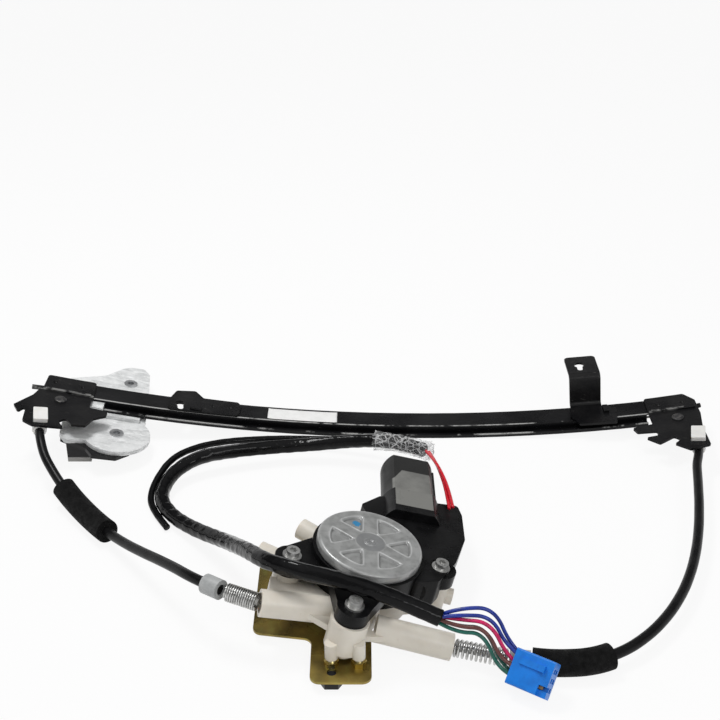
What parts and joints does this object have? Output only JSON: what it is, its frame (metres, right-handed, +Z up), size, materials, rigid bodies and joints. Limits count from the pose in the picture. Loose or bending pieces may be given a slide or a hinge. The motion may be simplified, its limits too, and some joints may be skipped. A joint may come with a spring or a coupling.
{
  "type": "cable window regulator",
  "caption": "Cable window regulator: curved steel rail with a sliding glass carrier, end pulleys, two sheathed cables, and a geared motor with a cable drum, harness and plug.",
  "frame": {"origin": "on the surface it lies on, under the middle of its box without the wiring", "axes": "+X along the guide rail from the carriage at rest, +Y from the motor to the rail, +Z up"},
  "size_m": [0.5352, 0.3868, 0.0644],
  "materials": {
    "black_paint": "satin",
    "dark_steel": "satin",
    "white_nylon": "satin",
    "clear_nylon": "satin",
    "wire_rope": "satin",
    "zinc_steel": "satin",
    "conduit_black": "satin",
    "foam": "matte",
    "grey_plastic": "matte",
    "spring_steel": "satin",
    "black_plastic": "satin",
    "rubber": "matte",
    "copper": "satin",
    "magnet": "matte",
    "bronze": "satin",
    "yellow_zinc": "satin",
    "tape": "gloss",
    "wire_red": "gloss",
    "blue_plastic": "gloss",
    "wire_blue": "gloss",
    "wire_magenta": "gloss",
    "wire_brown": "gloss",
    "wire_green": "gloss"
  },
  "bodies": {
    "base": {"axle_pin": "zinc_steel", "carbon_brushes": "magnet", "conduit_block_left": "white_nylon", "conduit_block_right": "white_nylon", "conduit_ferrule_left": "grey_plastic", "conduit_ferrule_right": "grey_plastic", "conduit_left": "conduit_black", "conduit_right": "conduit_black", "conduit_sleeve_left": "foam", "conduit_sleeve_right": "foam", "conduit_spring_left": "spring_steel", "conduit_spring_right": "spring_steel", "connector": "blue_plastic", "connector_terminals": "bronze", "cover_screws": "zinc_steel", "drum_cable_tails": "wire_rope", "drum_housing": "white_nylon", "foot_plate": "yellow_zinc", "gear_cover": "zinc_steel", "gearbox_housing": "black_plastic", "guide_rail": "black_paint", "harness": "tape", "harness_branch": "tape", "insulating_card": "black_plastic", "motor_can": "zinc_steel", "motor_leads": "wire_red", "motor_magnets": "magnet", "plate_spacers": "black_paint", "plate_studs": "zinc_steel", "pulley_bracket_left": "black_paint", "pulley_bracket_right": "black_paint", "pulley_rivet_left": "dark_steel", "pulley_rivet_right": "dark_steel", "rail_cable": "wire_rope", "rail_mount_plate": "black_paint", "shaft_bearings": "bronze", "standoff_bracket": "black_paint", "stud_nuts": "yellow_zinc", "wire_blue_lower": "wire_blue", "wire_blue_upper": "wire_blue", "wire_brown": "wire_brown", "wire_green_lower": "wire_green", "wire_green_upper": "wire_green", "wire_magenta": "wire_magenta"},
    "carriage": {"glass_carrier": "clear_nylon", "glass_bolt_inserts": "zinc_steel", "cable_nipples": "zinc_steel", "glass_clamp": "dark_steel"},
    "drum": {"worm_wheel": "white_nylon", "rubber_damper": "rubber", "drive_hub": "dark_steel", "cable_drum": "grey_plastic", "drum_cable_wraps": "wire_rope"},
    "armature": {"armature_shaft": "spring_steel", "armature_core": "dark_steel", "commutator": "copper", "armature_windings": "copper"},
    "pulley_left": {"cable_pulley_left": "white_nylon"},
    "pulley_right": {"cable_pulley_right": "white_nylon"}
  },
  "joints": [
    {"name": "motor_spin", "type": "hinge", "parent": "base", "child": "armature", "pos_m": [0.03005, -0.1078, 0.02822], "axis": [0, 1, 0], "range_deg": [0, 47617]},
    {"name": "drum_turn", "type": "hinge", "parent": "base", "child": "drum", "pos_m": [-0.00327, -0.1078, 0.02285], "axis": [0.2334, 0, 0.9724], "range_deg": [-820.9, 0]},
    {"name": "carriage_travel", "type": "hinge", "parent": "base", "child": "carriage", "pos_m": [0.0496, 0.11, 1.3905], "axis": [0, -1, 0], "range_deg": [0, 15.95]},
    {"name": "pulley_left_turn", "type": "hinge", "parent": "base", "child": "pulley_left", "pos_m": [-0.23743, 0.0965, 0.0325], "axis": [0.2068, 0, 0.9784], "range_deg": [-1430.3, 0]},
    {"name": "pulley_right_turn", "type": "hinge", "parent": "base", "child": "pulley_right", "pos_m": [0.24714, 0.0965, 0.01663], "axis": [-0.1423, 0, 0.9898], "range_deg": [-1430.3, 0]}
  ],
  "couplings": [
    {"joint": "motor_spin", "follows": "carriage_travel", "ratio": 2981.6},
    {"joint": "drum_turn", "follows": "carriage_travel", "ratio": -51.407},
    {"joint": "pulley_left_turn", "follows": "carriage_travel", "ratio": -89.548},
    {"joint": "pulley_right_turn", "follows": "carriage_travel", "ratio": -89.548}
  ]
}
